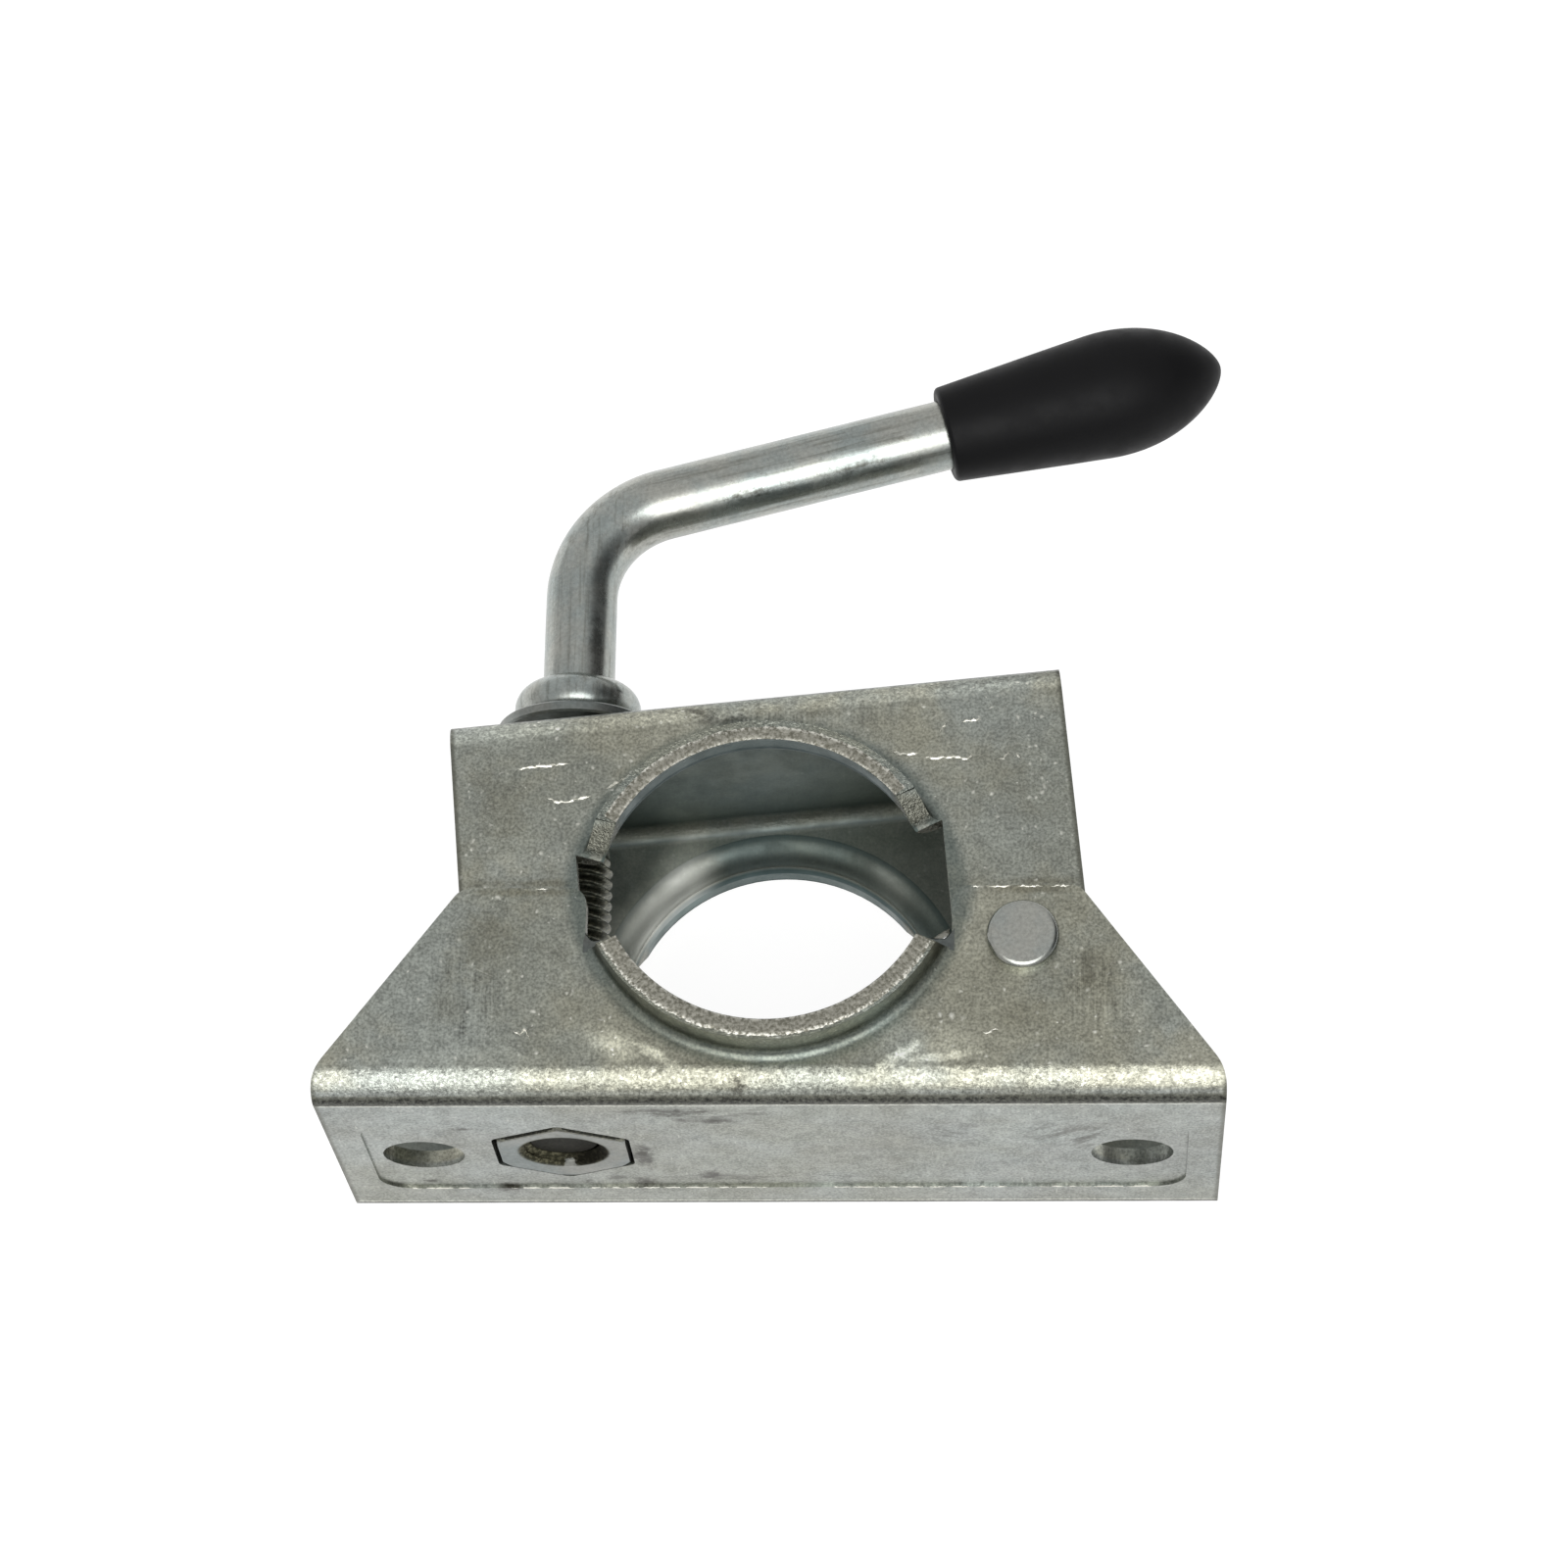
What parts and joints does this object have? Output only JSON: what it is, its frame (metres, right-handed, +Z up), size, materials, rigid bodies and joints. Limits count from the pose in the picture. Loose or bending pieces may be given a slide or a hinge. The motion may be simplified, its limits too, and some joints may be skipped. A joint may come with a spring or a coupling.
{
  "type": "jockey wheel clamp",
  "caption": "Pressed steel clamp for a round jockey wheel stem: a bolted bracket and a hinged jaw, each with plunged half collars, drawn together by a bent screw handle with a black grip.",
  "frame": {"origin": "centre of the bracket's round seat, half way up it", "axes": "+Z up along the stem, +Y from the drawbar towards the handle, +X along the web towards the hinge"},
  "size_m": [0.1324, 0.1342, 0.066],
  "materials": {
    "pressed_zinc": "bright zinc plate over pressed sheet, scuffed and stained",
    "zinc_fastener": "bright zinc plate",
    "zinc_rod": "bright zinc plate over drawn bar",
    "black_grip": "smooth satin"
  },
  "bodies": {
    "bracket": {"bracket": "pressed_zinc", "captive_nut": "zinc_fastener", "hinge_rivet": "zinc_fastener"},
    "jaw": {"clamp_jaw": "pressed_zinc"},
    "washer": {"washer": "zinc_fastener"},
    "handle": {"handle_rod": "zinc_rod", "handle_grip": "black_grip"}
  },
  "joints": [
    {"name": "handle_turn", "type": "hinge", "parent": "washer", "child": "handle", "pos_m": [-0.0313, 0.0343, 0], "axis": [0, 1, 0], "range_deg": [0, 1440]},
    {"name": "screw_travel", "type": "slide", "parent": "bracket", "child": "washer", "axis": [0, 1, 0], "range_m": [0, 0.007]},
    {"name": "jaw_swing", "type": "hinge", "parent": "bracket", "child": "jaw", "pos_m": [0.0364, -0.0099, 0], "axis": [0, 0, -1], "range_deg": [0, 8.74]}
  ],
  "couplings": [
    {"joint": "screw_travel", "follows": "handle_turn", "m_per_rad": 0.00027852},
    {"joint": "jaw_swing", "follows": "handle_turn", "ratio": 0.0060693}
  ]
}
